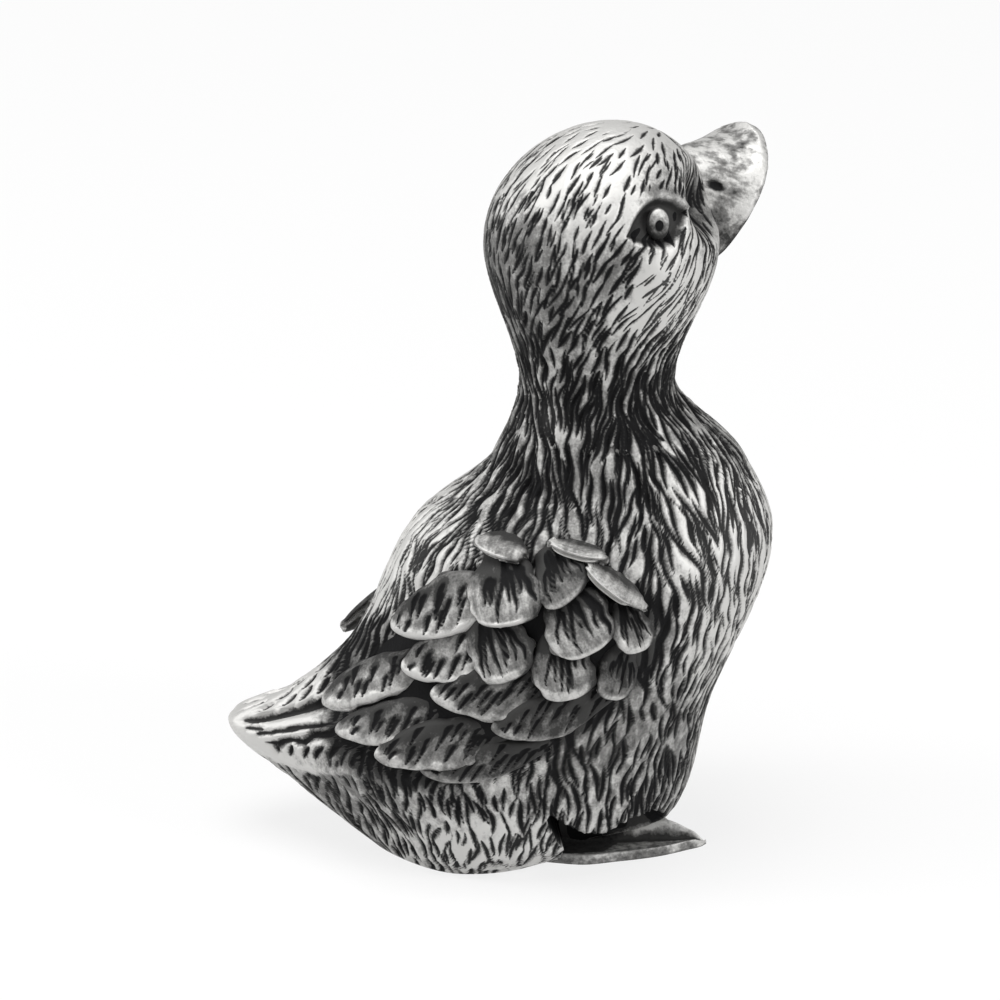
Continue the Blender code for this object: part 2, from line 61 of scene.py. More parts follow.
def smooth_curve(points, level_end=False):
    """A smooth curve through points that never swings past them. It leaves level if asked to."""
    places, values = np.array(points, float).T
    steps = np.diff(places)
    slopes = np.diff(values) / steps
    tangents = np.zeros(len(places))
    tangents[0] = slopes[0]
    tangents[-1] = 0.0 if level_end else slopes[-1]
    for i in range(1, len(places) - 1):
        if slopes[i - 1] * slopes[i] > 0:
            before = 2 * steps[i] + steps[i - 1]
            after = steps[i] + 2 * steps[i - 1]
            tangents[i] = (before + after) / (before / slopes[i - 1] + after / slopes[i])

    def at(place):
        place = np.clip(place, places[0], places[-1])
        i = np.clip(np.searchsorted(places, place) - 1, 0, len(steps) - 1)
        t = (place - places[i]) / steps[i]
        rise = values[i] + t * t * (3 - 2 * t) * (values[i + 1] - values[i])
        lean = t * (1 - t) * steps[i] * ((1 - t) * tangents[i] - t * tangents[i + 1])
        return rise + lean

    return at


# The outlines of the figure by height over the table, as on the CAD model
crown_height, head_height, seam_height, tail_height = 51.0, 42.7, 30.0, 7.7
crown_lean = 0.9
front = smooth_curve(
    ((0, 5), (2.7, 11.9), (10, 14), (22.4, 18.25), (27.6, 16.3), (33, 11.7), (head_height, 14.6)), True
)
back = smooth_curve(
    (
        (0, -8.8),
        (3.7, -13.9),
        (tail_height, -18.25),
        (9.9, -14.3),
        (13.8, -10.1),
        (22.2, -6),
        (27.3, -0.6),
        (33, 1.2),
        (head_height, -1.1),
    ),
    True,
)
half_width = smooth_curve(
    ((0, 7.5), (1.6, 9.2), (10, 11.2), (20.2, 10.3), (27.6, 6.8), (33, 5), (head_height, 7.3)), True
)
narrowing = smooth_curve(((0, 0.2), (tail_height, 0.55), (22.2, 0)))


def level(height):
    """The middle, half length and half width of the figure's oval at a height."""
    rise = np.maximum((height - head_height) / (crown_height - head_height), 0.0)
    round_off = np.sqrt(np.maximum(1 - rise**2, 0.0))
    middle = (front(height) + back(height)) / 2 + crown_lean * rise**2
    return middle, (front(height) - back(height)) / 2 * round_off, half_width(height) * round_off


def on_figure(height, angle):
    """Points of the smooth figure at a height and at an angle round from the breast."""
    middle, half_length, half = level(height)
    along = np.cos(angle)
    side = half * np.sin(angle) * (1 - narrowing(height) * ease(-along))
    return np.stack((middle + half_length * along, side, height + 0 * along), -1)


def unit(vectors):
    return vectors / np.maximum(np.linalg.norm(vectors, axis=-1, keepdims=True), 1e-9)


def dot(a, b):
    return np.sum(a * b, -1, keepdims=True)


# The way the head faces, its right-hand side and its up
head_pitch, head_yaw = math.radians(58), math.radians(37)
head_middle = np.array((6.75, 0.0, head_height))
level_share = math.cos(head_pitch)
facing = np.array((level_share * math.cos(head_yaw), level_share * math.sin(head_yaw), math.sin(head_pitch)))
right_hand = np.array((math.sin(head_yaw), -math.cos(head_yaw), 0.0))
upward = np.cross(right_hand, facing)

# The stretch of neck over which the lie of the down turns: where it starts and how tall it is
turn_start, turn_rise = 31, 9


def lie_of_down(points, normals):
    """Which way the down lies: straight back from the bill over the head, and straight down below it."""
    on_head = ease((points[:, 2:] - turn_start) / turn_rise)
    lean = -facing * on_head + np.array((0.0, 0.0, -1.0)) * (1 - on_head)
    sway = 0.20 * np.sin(points[:, :1] * 0.9 + points[:, 2:] * 0.35)
    sway = sway + 0.16 * np.sin(points[:, 1:2] * 1.3 - points[:, 2:] * 0.6)
    kinks = np.sin(points[:, 2:] * 2.1 + points[:, :1] * 1.7 + points[:, 1:2] * 1.1)
    sway = (sway + 0.22 * kinks) * (1 - 0.6 * on_head)
    way = unit(lean - dot(lean, normals) * normals)
    return unit(way + np.cross(normals, way) * sway)


def figure_slopes(height, angle):
    """How the figure's points move with height and with angle, and which way is out."""
    nudge = 0.02
    with_height = (on_figure(height + nudge, angle) - on_figure(height - nudge, angle)) / (2 * nudge)
    with_angle = (on_figure(height, angle + nudge) - on_figure(height, angle - nudge)) / (2 * nudge)
    return with_height, with_angle, unit(np.cross(with_angle, with_height))


# Length of a knife stroke, and the room that it keeps on each side, by height
stroke_length = smooth_curve(
    ((0, 2.2), (6, 2.7), (14, 3.4), (25, 4.2), (32, 3.7), (39, 2.6), (44, 1.9), (crown_height, 1.5))
)
stroke_room = smooth_curve(
    ((0, 0.44), (10, 0.46), (16, 0.50), (26, 0.53), (34, 0.48), (40, 0.50), (45, 0.56), (crown_height, 0.64))
)
lowest_stroke, crown_margin = 0.2, 0.04


def scatter_strokes(tries):
    """Picks where strokes are cut, so that each keeps its own room along and across the down."""
    height = chance.uniform(lowest_stroke, crown_height - crown_margin, tries)
    angle = chance.uniform(0, 2 * math.pi, tries)
    points = on_figure(height, angle)
    normals = figure_slopes(height, angle)[2]
    way = lie_of_down(points, normals)
    end_room = 0.82
    length_room = end_room * stroke_length(height)
    side_room = stroke_room(height)
    kept = []
    held = np.empty((tries, 3))
    for i in range(tries):
        apart = held[: len(kept)] - points[i]
        along = apart @ way[i]
        across = np.einsum("ij,ij->i", apart, apart) - along**2
        if not kept or ((along / length_room[i]) ** 2 + across / side_room[i] ** 2).min() > 1:
            held[len(kept)] = points[i]
            kept.append(i)
    return height[kept], angle[kept]


def cut_strokes(height, angle, thinnest, widest):
    """Follows the down both ways from each place. Gives points along the strokes and their half widths."""
    steps = 24
    shortest, longest, most_tilt = 0.5, 1.4, 0.2
    edge_margin, least_width = 0.05, 0.02
    finer_on_crown = 0.66 + 0.34 * ease((43 - height) / 8)
    broader_at_neck = 1 + 0.3 * np.exp(-(((height - seam_height) / 7) ** 2))
    length = stroke_length(height) * chance.uniform(shortest, longest, len(height))
    width = chance.uniform(thinnest, widest, len(height)) * finer_on_crown * broader_at_neck
    tilt = chance.uniform(-most_tilt, most_tilt, len(height))[:, None]
    points, widths = [], []
    for turn in (1, -1):
        here, round_ = height.copy(), angle.copy()
        for step in range(steps):
            with_height, with_angle, normals = figure_slopes(here, round_)
            spot = on_figure(here, round_)
            share = step / steps
            points.append(spot)
            widths.append(width * (1 - share**1.6) + least_width)
            way = lie_of_down(spot, normals)
            move = unit(way + np.cross(normals, way) * tilt) * turn * (length / 2 / steps)[:, None]

            # The move on the surface, solved for the change of height and of angle
            hh, aa = dot(with_height, with_height), dot(with_angle, with_angle)
            ha = dot(with_height, with_angle)
            hm, am = dot(with_height, move), dot(with_angle, move)
            spread = hh * aa - ha * ha + 1e-9
            climb = ((aa * hm - ha * am) / spread)[:, 0]
            here = np.clip(here + climb, edge_margin, crown_height - edge_margin)
            round_ = round_ + ((hh * am - ha * hm) / spread)[:, 0]
    return np.concatenate(points), np.concatenate(widths)


# How many strokes are weighed at a point, and at how many half widths from a cut the metal is untouched
neighbours, untouched = 6, 6.0


def nearest_stroke(points, stroke_points, stroke_widths):
    """How far each point is from its nearest stroke, in half widths of that stroke, and that half width."""
    tree = KDTree(len(stroke_points))
    for i, spot in enumerate(stroke_points):
        tree.insert(spot, i)
    tree.balance()
    found, width = np.empty(len(points)), np.empty(len(points))
    for i, point in enumerate(points):
        near = tree.find_n(point, neighbours)
        ratios = [(apart / stroke_widths[spot], stroke_widths[spot]) for _, spot, apart in near]
        found[i], width[i] = min(ratios)
    return np.minimum(found, untouched), width


def points_of(piece):
    points = np.empty(len(piece.data.vertices) * 3)
    piece.data.vertices.foreach_get("co", points)
    return points.reshape(-1, 3)


def move_points(piece, points):
    piece.data.vertices.foreach_set("co", (points * MM).ravel())
    piece.data.update()


def ball(name, segments, rings):
    """A grid rolled up into a closed ball, with each point's angle round it and share of the way down."""
    bpy.ops.object.select_all(action="DESELECT")
    bpy.ops.mesh.primitive_grid_add(x_subdivisions=segments, y_subdivisions=rings, size=2)
    piece = bpy.context.object
    piece.name = piece.data.name = name
    turn, fall = points_of(piece)[:, 0] * math.pi, (1 - points_of(piece)[:, 1]) / 2 * math.pi
    rolled = np.stack((np.cos(turn) * np.sin(fall), np.sin(turn) * np.sin(fall), np.cos(fall)), -1)
    move_points(piece, rolled / MM)
    bpy.ops.object.mode_set(mode="EDIT")
    bpy.ops.mesh.select_all(action="SELECT")
    bpy.ops.mesh.remove_doubles(threshold=2e-6)
    bpy.ops.mesh.normals_make_consistent(inside=False)
    bpy.ops.object.mode_set(mode="OBJECT")
    points = points_of(piece)
    return piece, np.arctan2(points[:, 1], points[:, 0]), np.arccos(np.clip(points[:, 2], -1, 1)) / math.pi


def normals_of(piece):
    normals = np.empty(len(piece.data.vertices) * 3)
    piece.data.vertex_normals.foreach_get("vector", normals)
    return normals.reshape(-1, 3)


def mark(piece, stroke, hollow, worn, strand):
    """Keeps what the pewter needs at each point: distance from a cut, painted shade, wear, and lie."""
    for name, values in (("stroke", stroke), ("hollow", hollow), ("worn", worn)):
        values = np.zeros(len(piece.data.vertices)) + values
        piece.data.attributes.new(name, "FLOAT", "POINT").data.foreach_set("value", values)
    piece.data.attributes.new("strand", "FLOAT_VECTOR", "POINT").data.foreach_set("vector", strand.ravel())


def groove(ratio, depth):
    """The hollow that a stroke cuts, with soft banks."""
    cut, bank, bank_reach = 0.6, 0.4, 2.2
    return -depth * (cut * np.exp(-(ratio**2)) + bank * np.exp(-((ratio / bank_reach) ** 2)))


def finish_piece(piece, material, node):
    piece.data.materials.clear()
    piece.data.materials.append(material)
    piece.data.shade_smooth()
    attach(piece, "root")
    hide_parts(node)


class Value:
    """A shader socket that can be used in ordinary sums."""

    def __init__(self, finish, socket):
        self.finish = finish
        self.socket = socket

    def sum(self, operation, first, second):
        return self.finish.node("ShaderNodeMath", {"operation": operation}, {0: first, 1: second})

    def __add__(self, other):
        return self.sum("ADD", self, other)

    def __radd__(self, other):
        return self.sum("ADD", other, self)

    def __sub__(self, other):
        return self.sum("SUBTRACT", self, other)

    def __rsub__(self, other):
        return self.sum("SUBTRACT", other, self)

    def __mul__(self, other):
        return self.sum("MULTIPLY", self, other)

    def __rmul__(self, other):
        return self.sum("MULTIPLY", other, self)


class Finish:
    """A material and the nodes that make it."""

    def __init__(self, name):
        self.material = bpy.data.materials.new(name)
        self.material.use_nodes = True
        self.tree = self.material.node_tree
        self.shader = self.tree.nodes["Principled BSDF"]

    def node(self, kind, settings, sockets, output=0):
        made = self.tree.nodes.new(kind)
        for name, value in settings.items():
            setattr(made, name, value)
        for name, value in sockets.items():
            self.feed(made.inputs[name], value)
        return Value(self, made.outputs[output])

    def feed(self, socket, value):
        if isinstance(value, Value):
            self.tree.links.new(value.socket, socket)
        else:
            socket.default_value = value

    def attribute(self, name):
        return self.node("ShaderNodeAttribute", {"attribute_name": name}, {}, output="Fac")

    def noise(self, size, detail=3.0):
        """Cloudy variation from 0 to 1, with spots of about this size in millimetres."""
        place = self.node("ShaderNodeTexCoord", {}, {}, output="Object")
        sockets = {"Vector": place, "Scale": 1 / (size * MM), "Detail": detail}
        return self.node("ShaderNodeTexNoise", {}, sockets)

    def between(self, value, low, high):
        """0 below low and 1 above high, smooth between."""
        settings = {"interpolation_type": "SMOOTHSTEP"}
        sockets = {"Value": value, "From Min": low, "From Max": high}
        return self.node("ShaderNodeMapRange", settings, sockets)

    def blend(self, share, first, second):
        """Goes from the first colour to the second."""
        return self.node("ShaderNodeMix", {"data_type": "RGBA"}, {0: share, 6: first, 7: second}, output=2)


black_patina_and_shade = (0.007, 0.007, 0.0075, 1)
dull_pewter = (0.055, 0.0545, 0.0535, 1)
grey_pewter = (0.20, 0.198, 0.193, 1)
bright_pewter = (0.61, 0.605, 0.59, 1)


def antiqued_pewter(name):
    """Cast pewter, blackened and then rubbed: dark stays in cuts, painted shade darkens it towards black,
    and high metal shines.
    """
    finish = Finish(name)
    stroke = finish.attribute("stroke")
    hollow = finish.attribute("hollow")
    strand = finish.node("ShaderNodeAttribute", {"attribute_name": "strand"}, {}, output="Vector")
    hair = finish.node("ShaderNodeTexNoise", {}, {"Vector": strand, "Scale": 1.0, "Detail": 3.0})
    cloud_size, mottle_size, grain_size, bump_depth = 3.0, 0.7, 0.16, 0.12
    cloud = finish.noise(cloud_size)
    mottle = finish.noise(mottle_size)
    grain = finish.noise(grain_size, detail=4.0)
    # The hollow attribute is painted shade: it holds back the bright metal and darkens the patina towards
    # black.
    bank = stroke + (grain - 0.5) * 0.7 + (hair - 0.5) * 0.6 - hollow * 1.3
    cleared = finish.between(bank, 0.65, 1.4)
    worn = finish.attribute("worn")
    wear = worn + (hair - 0.5) * 0.8 + (cloud - 0.5) * 0.7 + (mottle - 0.5) * 0.8 + (grain - 0.5) * 0.6
    wear = wear + finish.between(bank, 0.9, 2.7) * 0.6 - hollow
    metal = finish.blend(finish.between(wear, 0.15, 0.65), dull_pewter, grey_pewter)
    metal = finish.blend(finish.between(wear, 0.55, 1.25), metal, bright_pewter)
    patina_and_shade = finish.blend(finish.between(worn - hollow, 0.3, 1.3), black_patina_and_shade, dull_pewter)
    height = hair * 0.8 + grain * 0.35
    bump_inputs = {"Strength": 0.6, "Distance": bump_depth * MM, "Height": height}
    bumps = finish.node("ShaderNodeBump", {}, bump_inputs)
    finish.feed(finish.shader.inputs["Base Color"], finish.blend(cleared, patina_and_shade, metal))
    finish.feed(finish.shader.inputs["Roughness"], 0.72 - 0.14 * finish.between(wear, 0.4, 1.2))
    finish.feed(finish.shader.inputs["Metallic"], 0.2 + 0.4 * cleared)
    finish.feed(finish.shader.inputs["Normal"], bumps)
    finish.feed(finish.shader.inputs["Specular IOR Level"], 0.15)
    return finish.material


# How bright the down is rubbed all over, and where handling made it brighter or left it darker: the middle,
# the reach and the amount of each place
rubbed_all_over = 0.2
rubbed_places = (
    ((6.0, -2.0, 50.5), (8.0, 7.0, 4.5), 0.68),
    ((5.8, -5.5, 47.8), (1.2, 1.5, 0.9), -0.35),
    ((2.8, -6.1, 44.3), (1.8, 2.0, 2.0), -0.45),
    ((10.4, -2.5, 48.3), (1.8, 2.5, 1.8), -0.4),
    ((8.8, -6.7, 44.4), (1.6, 2.0, 1.4), -0.5),
    ((5.3, -7.0, 41.3), (1.8, 2.0, 2.2), -0.25),
    ((12.0, -5.5, 40.5), (3.8, 4.0, 3.2), 0.95),
    ((8.0, -6.0, 45.0), (5.0, 5.0, 3.0), 0.35),
    ((18.0, -4.0, 22.0), (7.0, 9.0, 8.0), 0.8),
    ((-7.0, 0.0, 21.0), (6.0, 7.0, 8.0), 1.0),
    ((-16.0, 0.0, 9.0), (5.0, 5.0, 3.0), 0.65),
    ((0.0, -10.0, 2.0), (9.0, 6.0, 4.0), 0.6),
    ((-9.0, -7.0, 6.0), (5.0, 5.0, 3.0), -0.3),
    ((3.6, -4.5, 31.8), (1.4, 1.5, 1.9), 0.6),
    ((-0.5, -4.0, 40.0), (3.5, 5.0, 6.0), -0.35),
    ((12.0, -8.0, 8.0), (6.0, 5.0, 6.0), -0.15),
)


def rubbing(points):
    """How far the down is rubbed bright, alike on both sides."""
    worn = np.full(len(points), rubbed_all_over)
    for middle, reach, amount in rubbed_places:
        apart = (points - middle) / reach
        other = (points * np.array((1, -1, 1)) - middle) / reach
        near = np.minimum(np.sum(apart**2, 1), np.sum(other**2, 1))
        worn = worn + amount * np.exp(-near)
    return worn


def lie_of_hair(points):
    """Places for the fine hair lines, which are thin round the figure and long down it."""
    hair_width, hair_length = 0.5, 2.0
    return points / np.array((hair_width, hair_width, hair_length))


feathered_pewter = antiqued_pewter("feathered pewter")

# Deep strokes that keep their room, and fine ones anywhere between them, with least and most half width
deep_tries, deep_half_widths = 26000, (0.075, 0.145)
fine_count, fine_half_widths = 1800, (0.05, 0.09)
deep_points, deep_widths = cut_strokes(*scatter_strokes(deep_tries), *deep_half_widths)
fine_heights = chance.uniform(0.3, crown_height - 1, fine_count)
fine_angles = chance.uniform(0, 2 * math.pi, fine_count)
fine_points, fine_widths = cut_strokes(fine_heights, fine_angles, *fine_half_widths)

# Long cuts over the tail, given by height and angle, with the half width of each
tail_cuts = (
    (0.30, ((8.1, 3.44), (8.5, 3.53), (9.0, 3.56), (9.7, 3.62), (10.3, 3.70), (11.2, 3.78))),
    (0.22, ((7.1, 3.71), (7.3, 3.83), (8.0, 3.91), (8.1, 3.98), (8.7, 3.95), (9.0, 4.02), (9.4, 3.97))),
    (0.13, ((6.4, 3.77), (7.2, 3.82))),
    (0.14, ((6.7, 3.88), (7.6, 3.93))),
    (0.15, ((6.9, 3.98), (7.9, 4.03))),
    (0.14, ((7.2, 4.06), (8.2, 4.09))),
    (0.16, ((7.6, 4.15), (8.7, 4.13))),
    (0.11, ((7.75, 3.55), (8.1, 3.70))),
    (0.11, ((7.55, 3.66), (8.2, 3.80))),
    (0.12, ((8.1, 3.76), (8.75, 3.87))),
    (0.12, ((8.6, 3.80), (9.3, 3.93))),
    (0.12, ((8.8, 3.42), (9.4, 3.33))),
    (0.12, ((9.3, 3.47), (10.2, 3.37))),
    (0.13, ((9.9, 3.52), (10.9, 3.42))),
    (0.13, ((10.6, 3.58), (11.7, 3.48))),
    (0.13, ((11.2, 3.63), (12.4, 3.56))),
    (0.12, ((8.5, 3.26), (9.2, 3.21))),
    (0.12, ((9.2, 3.30), (10.2, 3.24))),
    (0.11, ((10.0, 3.20), (10.9, 3.17))),
    (0.12, ((10.4, 3.37), (11.4, 3.29))),
    (0.12, ((11.6, 3.44), (12.7, 3.34))),
    (0.11, ((11.4, 3.23), (12.4, 3.19))),
)
# The smooth rim that runs round the tail, and the raised line under it, given in the same way
tail_ridges = (
    (
        0.36,
        (
            (9.4, 3.33),
            (8.6, 3.34),
            (7.9, 3.38),
            (7.3, 3.50),
            (6.8, 3.63),
            (6.2, 3.74),
            (6.0, 3.86),
            (6.2, 3.97),
        ),
    ),
    (0.26, ((6.0, 3.86), (6.2, 3.97), (6.6, 4.13), (7.3, 4.27), (6.4, 4.27), (5.0, 4.19))),
)


def lines_on_figure(lines):
    """Points along drawn lines, on both sides of the figure, and their half widths."""
    points, widths = [], []
    for width, places in lines:
        share = np.linspace(0, 1, len(places))
        fine = np.linspace(0, 1, 80)
        height = np.interp(fine, share, [place[0] for place in places])
        angle = np.interp(fine, share, [place[1] for place in places])
        for turned in (angle, 2 * math.pi - angle):
            points.append(on_figure(height, turned))
            widths.append(width * (1 - np.abs(2 * fine - 1) ** 3) + 0.03)
    return np.concatenate(points), np.concatenate(widths)


stroke_points = np.concatenate((deep_points, fine_points))
stroke_widths = np.concatenate((deep_widths, fine_widths))

# At the neck each casting's wall runs on a little way, just inside the other's
lap, lap_inset = 0.25, 0.06

# Shares of the way down at which the wall starts, leaves its own slope and ends on the table
collar_share, slope_share, base_share = 0.025, 0.9, 0.965
body, around, down = ball("carved_body", 600, 162)
body_heights = smooth_curve(
    (
        (collar_share, seam_height + lap),
        (0.045, seam_height),
        (0.16, 26.4),
        (0.62, 10.2),
        (0.80, 5.6),
        (0.955, 0.25),
        (base_share, 0),
    )
)
body_base = on_figure(body_heights(down), around)
collar_middle, table_middle = np.array((7.0, 0.0, seam_height + 3)), np.array((-1.9, 0.0, 0.0))
under_collar = np.where(down < collar_share, down / collar_share, 1.0) ** 0.5
on_table = np.where(down > base_share, (1 - down) / (1 - base_share), 1.0)
drawn_in = under_collar * on_table
cap_middle = np.where((down < 0.5)[:, None], collar_middle, table_middle)
body_base = cap_middle + (body_base - cap_middle) * drawn_in[:, None]
move_points(body, body_base)
on_wall = ((down >= collar_share) & (down < slope_share))[:, None]
body_normals = np.where(on_wall, figure_slopes(body_heights(down), around)[2], normals_of(body))
body_ratio, body_width = nearest_stroke(body_base, stroke_points, stroke_widths)

# On the tail the listed cuts take the place of the down
body_levels = body_base[:, 2]
tail_start, tail_underside = -10.5, 5.4
on_tail = ease((tail_start - body_base[:, 0]) / 1.5) * ease((body_levels - tail_underside) / 0.6)
body_ratio = body_ratio + 5 * on_tail
cut_ratio, cut_width = nearest_stroke(body_base, *lines_on_figure(tail_cuts))
body_width = np.where(cut_ratio < body_ratio, cut_width, body_width)
tail_ridge = np.exp(-(nearest_stroke(body_base, *lines_on_figure(tail_ridges))[0] ** 2))
body_ratio = np.minimum(body_ratio, cut_ratio) + 4 * tail_ridge

# The hollows over the feet: the breast hangs over each web behind a deep moat
cave_top = smooth_curve(
    (
        (0.28, 2.4),
        (0.41, 3.5),
        (0.53, 4.0),
        (0.65, 4.05),
        (0.75, 3.75),
        (0.88, 3.3),
        (1.0, 3.65),
        (1.08, 4.3),
        (1.15, 5.2),
    )
)
cave_floor = smooth_curve(((0.28, -1), (0.86, -0.6), (0.97, 1.0), (1.08, 2.1), (1.15, 3.3), (1.18, 4.6)))
turned = np.abs(around)
foot_cave = ease((cave_top(turned) - body_levels) / 0.35) * ease((body_levels - cave_floor(turned)) / 0.3)
foot_cave = foot_cave * ease((turned - 0.26) / 0.06) * ease((1.19 - turned) / 0.05) * (body_levels > 0)

# Depth of a stroke in half widths of it, rise of the tail's ridges and depth of the hollows
body_cut, ridge_rise, cave_depth = 2.1, 0.14, 2.8
relief = groove(body_ratio, body_cut * body_width) * ease(body_levels / 0.6)
relief = relief + ridge_rise * tail_ridge - cave_depth * foot_cave
relief = relief - lap_inset * ease((body_levels - seam_height) / lap)
relief = np.where(down > base_share, 0, relief)
body_points = body_base + body_normals * relief[:, None]
body_points[:, 2] = np.maximum(body_points[:, 2], 0)
move_points(body, body_points)

# Painted shadow under each wing: the body is darkened in an oval under the wing's place
wing_degrees, wing_middle = 204, np.array((0.3, 14.8))
wing_reach, wing_depth, wing_shade = 12.6, 5.6, 0.75
wing_way = np.array((math.cos(math.radians(wing_degrees)), math.sin(math.radians(wing_degrees))))
wing_side = np.array((-wing_way[1], wing_way[0]))
from_wing = np.stack((body_base[:, 0], body_levels), -1) - wing_middle
under_wing = np.hypot(from_wing @ wing_way / wing_reach, from_wing @ wing_side / wing_depth)
under_wing = wing_shade * ease((1.14 - under_wing) / 0.25)
# Painted shade also darkens the caves over the feet
body_painted_shade = np.maximum(2.5 * ease(foot_cave * 3), under_wing)
body_worn = rubbing(body_base) + 0.3 * tail_ridge + 0.25 * on_tail
mark(body, body_ratio, body_painted_shade, body_worn, lie_of_hair(body_base))
finish_piece(body, feathered_pewter, "body")

# Head
# Head and neck are one casting, soldered to the body by a spigot. Short strokes run back from the bill over
# the crown and the cheeks and turn down the neck. Each eye lies in a deep almond hollow under a brow.

eye_forward, eye_up = 0.423, 0.20
eye_aside = math.sqrt(1 - eye_forward**2 - eye_up**2)


def head_side(direction):
    """Where a line from the middle of the head comes out."""
    inside, outside = 0.0, 16.0
    for _ in range(40):
        reach = (inside + outside) / 2
        x, y, z = head_middle + direction * reach
        middle, half_length, half = level(np.array(z))
        if half > 0 and ((x - middle) / half_length) ** 2 + (y / half) ** 2 < 1:
            inside = reach
        else:
            outside = reach
    return head_middle + direction * inside


def eye_direction(side):
    return unit(facing * eye_forward + right_hand * side * eye_aside + upward * eye_up)


# Shares of the way down at which the crown ends, the seam lies and the wall ends
crown_share, seam_share, neck_share = 0.34, 0.965, 0.98
head, around, down = ball("carved_head", 330, 290)
turn = np.clip(down / crown_share, 0, 1) * math.pi / 2
head_levels = np.where(
    down < crown_share,
    head_height + (crown_height - head_height) * np.cos(turn),
    np.interp(down, (crown_share, seam_share, neck_share), (head_height, seam_height, seam_height - lap)),
)
head_points = on_figure(np.minimum(head_levels, crown_height - 1e-6), around)
drawn_in = np.where(down > neck_share, (1 - down) / (1 - neck_share), 1.0)[:, None] ** 0.5
head_points = collar_middle + (head_points - collar_middle) * drawn_in
move_points(head, head_points)
wall_top = 40
on_wall = ((head_levels < wall_top) & (down <= neck_share))[:, None]
head_normals = np.where(on_wall, figure_slopes(head_levels, around)[2], normals_of(head))
head_ratio, head_width = nearest_stroke(head_points, stroke_points, stroke_widths)

# The top of the crown is bare, because strokes would meet there in a star
bare_crown = 1.4
from_crown = np.linalg.norm(head_points - on_figure(crown_height, 0.0), axis=1)
head_ratio = head_ratio + 4 * ease(bare_crown - from_crown)

# Depth of a stroke in half widths of it
head_cut = 1.7
relief = groove(head_ratio, head_cut * head_width)
relief = relief - lap_inset * ease((seam_height - head_points[:, 2]) / lap)
worn = rubbing(head_points)
forward = (head_points - head_middle) @ facing
aside = np.abs((head_points - head_middle) @ right_hand)
over = (head_points - head_middle) @ upward


def head_spot(middle, reach):
    """1 at a place on both sides of the head, falling to 0 at its reach."""
    apart = np.stack((forward, aside, over), -1) - middle
    return ease(1 - np.linalg.norm(apart / reach, axis=1))


# The cheek, the hollow behind it, and the narrow face before the eye that leaves the bill free
cheek = head_spot((0.8, 7.4, 0.0), (3.6, 3.0, 3.2))
behind_cheek = head_spot((-1.8, 6.6, 3.2), (3.0, 3.0, 3.2))
before_eye = head_spot((5.6, 4.8, -2.6), (3.4, 3.6, 3.4))
relief = relief + 0.45 * cheek - 0.55 * behind_cheek - 2.2 * before_eye
# Painted shade darkens the hollow behind the cheek and the face before the eye
head_painted_shade = 0.55 * behind_cheek + 0.8 * before_eye
worn = worn + 0.3 * cheek

# The hollow round each eye, which points down to the bill, and the brow and the lid over it
almond_half_length, almond_half_height, almond_depth, brow_rise = 2.4, 1.45, 0.9, 0.08
for side in (1, -1):
    eye_way = eye_direction(side)
    eye = head_side(eye_way)
    corner_way = facing * 0.78 - upward * 0.86
    corner_way = unit(corner_way - eye_way * (corner_way @ eye_way))
    lid_way = np.cross(eye_way, corner_way) * side
    apart = head_points - eye
    beside = np.linalg.norm(apart, axis=1) < 5
    before = apart @ corner_way
    above = apart @ lid_way
    almond = (before / almond_half_length) ** 2 + np.abs(above) / almond_half_height
    sunk = ease((1.2 - almond) / 0.35) * beside
    brow = ease(1 - np.abs(almond - 1.5) / 0.4) * (above > 0) * beside * ease(before + 0.3)
    lid = ease((1.7 - almond) / 0.4) * ease(above / 0.3) * beside
    relief = relief * (1 - np.maximum(sunk, lid)) - almond_depth * sunk + brow_rise * brow
    head_ratio = head_ratio + 4 * lid
    # Painted shade darkens the eye's hollow, and the brow is painted darker as shade
    head_painted_shade = np.maximum(head_painted_shade, 1.4 * sunk)
    worn = worn - 0.25 * brow
move_points(head, head_points + head_normals * relief[:, None])
mark(head, head_ratio, head_painted_shade, worn, lie_of_hair(head_points))
finish_piece(head, feathered_pewter, "head")

# Eyes
# Small turned pewter beads, each with a drilled pupil. They are pressed into their hollows on pins. Painted
# shade darkens their rims, more so below, and their upper halves are painted lighter than their lower
# halves.

eye_half_width, eye_half_height, eye_half_depth, eye_sink = 0.78, 1.14, 0.6, 0.5

for side, word in ((1, "right"), (-1, "left")):
    bead, around, down = ball(f"{word}_eye_bead", 64, 56)
    axis = unit(eye_direction(side) - 0.53 * facing - 0.24 * side * right_hand)
    level_way = unit(np.cross(axis, np.array((0.0, 0.0, 1.0))))
    rise_way = np.cross(level_way, axis)
    off = down * math.pi
    pupil = ease((0.6 - off) / 0.16)
    radius = 1 - 0.3 * pupil
    risen = np.sin(off) * np.sin(around)
    outward = np.multiply.outer(np.cos(off) * eye_half_depth * radius, axis)
    sideways = np.multiply.outer(np.sin(off) * np.cos(around) * eye_half_width * radius, level_way)
    sideways = sideways + np.multiply.outer(risen * eye_half_height * radius, rise_way)
    bead_points = head_side(eye_direction(side)) - eye_direction(side) * eye_sink + outward + sideways
    move_points(bead, bead_points)
    # Painted shade round the rim, reaching further in below, and painted light on the upper half with
    # painted shade on the lower half
    rim_shade = ease((off - 0.95 - 0.25 * risen) / 0.3)
    mark(bead, untouched - 5.7 * pupil, rim_shade, 0.7 * risen, bead_points / 0.6)
    finish_piece(bead, feathered_pewter, f"{word}_eye")

# Bill
# Two smooth castings with tangs in the head. The upper half sweeps from a high ridge to a broad round tip
# with a thin rim, and has two nostrils. The lower half is a shallow tray under the mouth.

